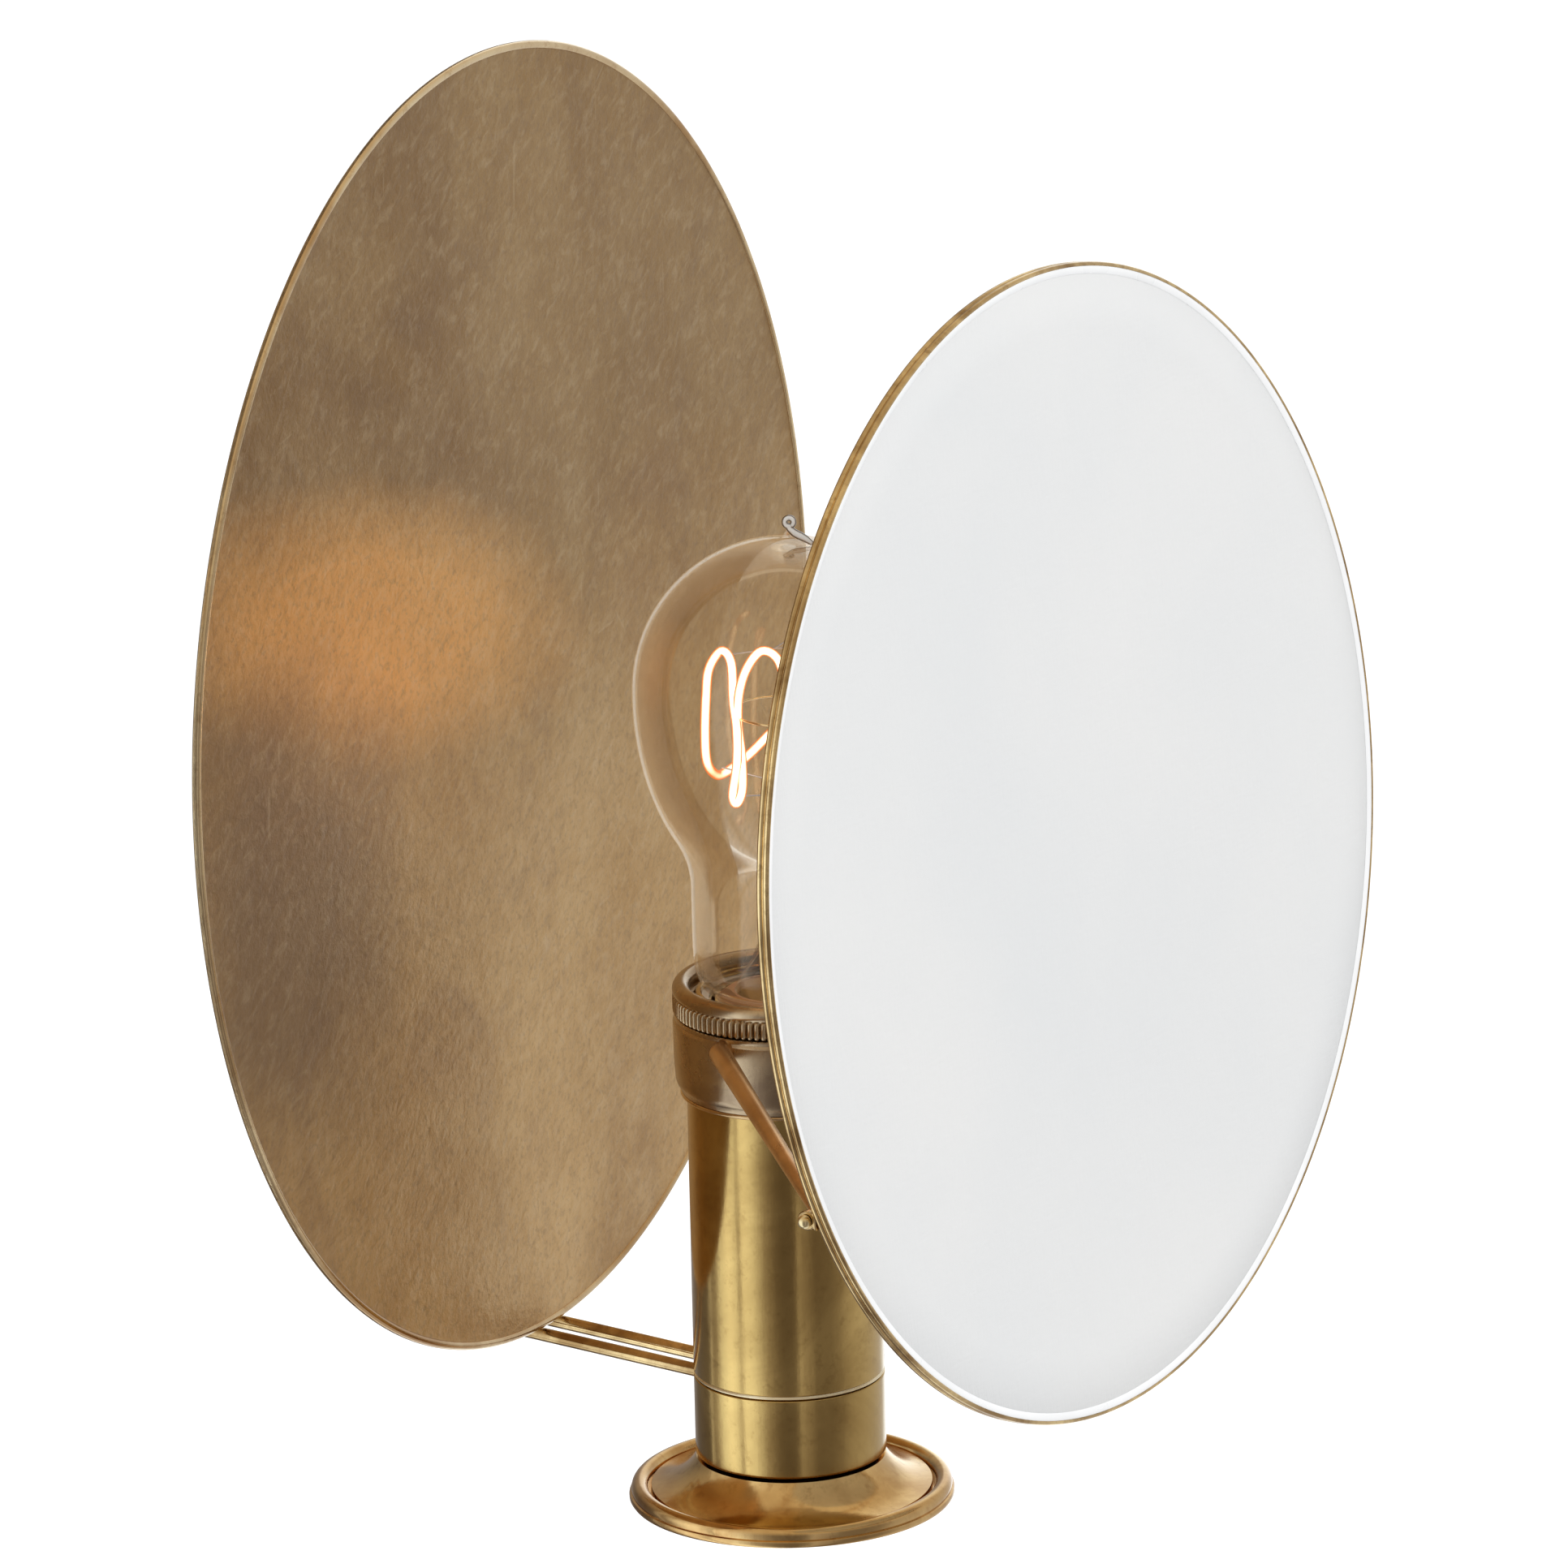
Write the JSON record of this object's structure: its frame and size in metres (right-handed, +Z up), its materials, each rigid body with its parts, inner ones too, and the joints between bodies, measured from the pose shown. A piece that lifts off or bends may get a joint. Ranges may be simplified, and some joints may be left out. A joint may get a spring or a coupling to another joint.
{
  "type": "wall sconce",
  "caption": "Electric wall sconce in aged brass: a candle-like tube with a clear lamp, a round reflector behind it and a round white diffuser on swinging arms in front.",
  "frame": {"origin": "centre of the wall plate's back face, on the wall", "axes": "+Z up, +Y into the wall, +X to the right as seen from the room"},
  "size_m": [0.256, 0.1681, 0.2849],
  "materials": {
    "aged_brass": "aged, satin to polished",
    "reflector_brass": "hand-rubbed satin",
    "bright_brass": "bright",
    "steel": "zinc plated",
    "porcelain": "glazed",
    "wire_cover": "matt",
    "white_glass": "white, finely textured",
    "clear_glass": "clear",
    "filament_wire": "glowing",
    "black_glass": "gloss"
  },
  "bodies": {
    "frame": {"wall_strap": "steel", "wall_cover": "aged_brass", "cover_screws": "aged_brass", "hub_nipple": "bright_brass", "hub_nut": "steel", "rod_block": "aged_brass", "block_screws": "steel", "reflector_hub": "aged_brass", "reflector": "reflector_brass", "rod_left": "aged_brass", "rod_right": "aged_brass", "rod_nuts": "steel", "lower_cup": "aged_brass", "foot": "aged_brass", "foot_nut": "aged_brass", "lamp_nipple": "steel", "cup_nut": "steel", "tube_sleeve": "aged_brass", "socket_plate": "steel", "socket_nut": "steel", "socket_body": "porcelain", "socket_skirt": "aged_brass", "socket_shell": "bright_brass", "centre_contact": "bright_brass", "lead_wires": "wire_cover"},
    "collar": {"collar": "aged_brass"},
    "yoke": {"arm_left": "aged_brass", "arm_right": "aged_brass", "arm_screws": "bright_brass"},
    "diffuser": {"diffuser_rim": "aged_brass", "rim_lugs": "aged_brass", "diffuser_panel": "white_glass", "panel_ring": "aged_brass"},
    "ring": {"reeded_ring": "aged_brass"},
    "lamp": {"bulb_glass": "clear_glass", "bulb_stem": "clear_glass", "filament_supports": "steel", "filament": "filament_wire", "bulb_base": "bright_brass", "bulb_insulator": "black_glass", "bulb_contact": "steel"}
  },
  "joints": [
    {"name": "collar_turn", "type": "hinge", "parent": "frame", "child": "collar", "pos_m": [0, -0.085, -0.0659], "axis": [0, 0, 1], "range_deg": [-35, 45]},
    {"name": "yoke_swing", "type": "hinge", "parent": "collar", "child": "yoke", "pos_m": [0, -0.085, -0.0595], "axis": [-0.9956, 0.0941, 0], "range_deg": [-20, 15]},
    {"name": "diffuser_tilt", "type": "hinge", "parent": "yoke", "child": "diffuser", "pos_m": [-0.00643, -0.153, -0.0595], "axis": [0.9956, -0.0941, 0], "range_deg": [-12, 12]},
    {"name": "ring_turn", "type": "hinge", "parent": "frame", "child": "ring", "pos_m": [0, -0.085, -0.054], "axis": [0, 0, 1], "continuous": true},
    {"name": "lamp_lift", "type": "slide", "parent": "frame", "child": "lamp", "axis": [0, 0, 1], "range_m": [0, 0.03]}
  ]
}
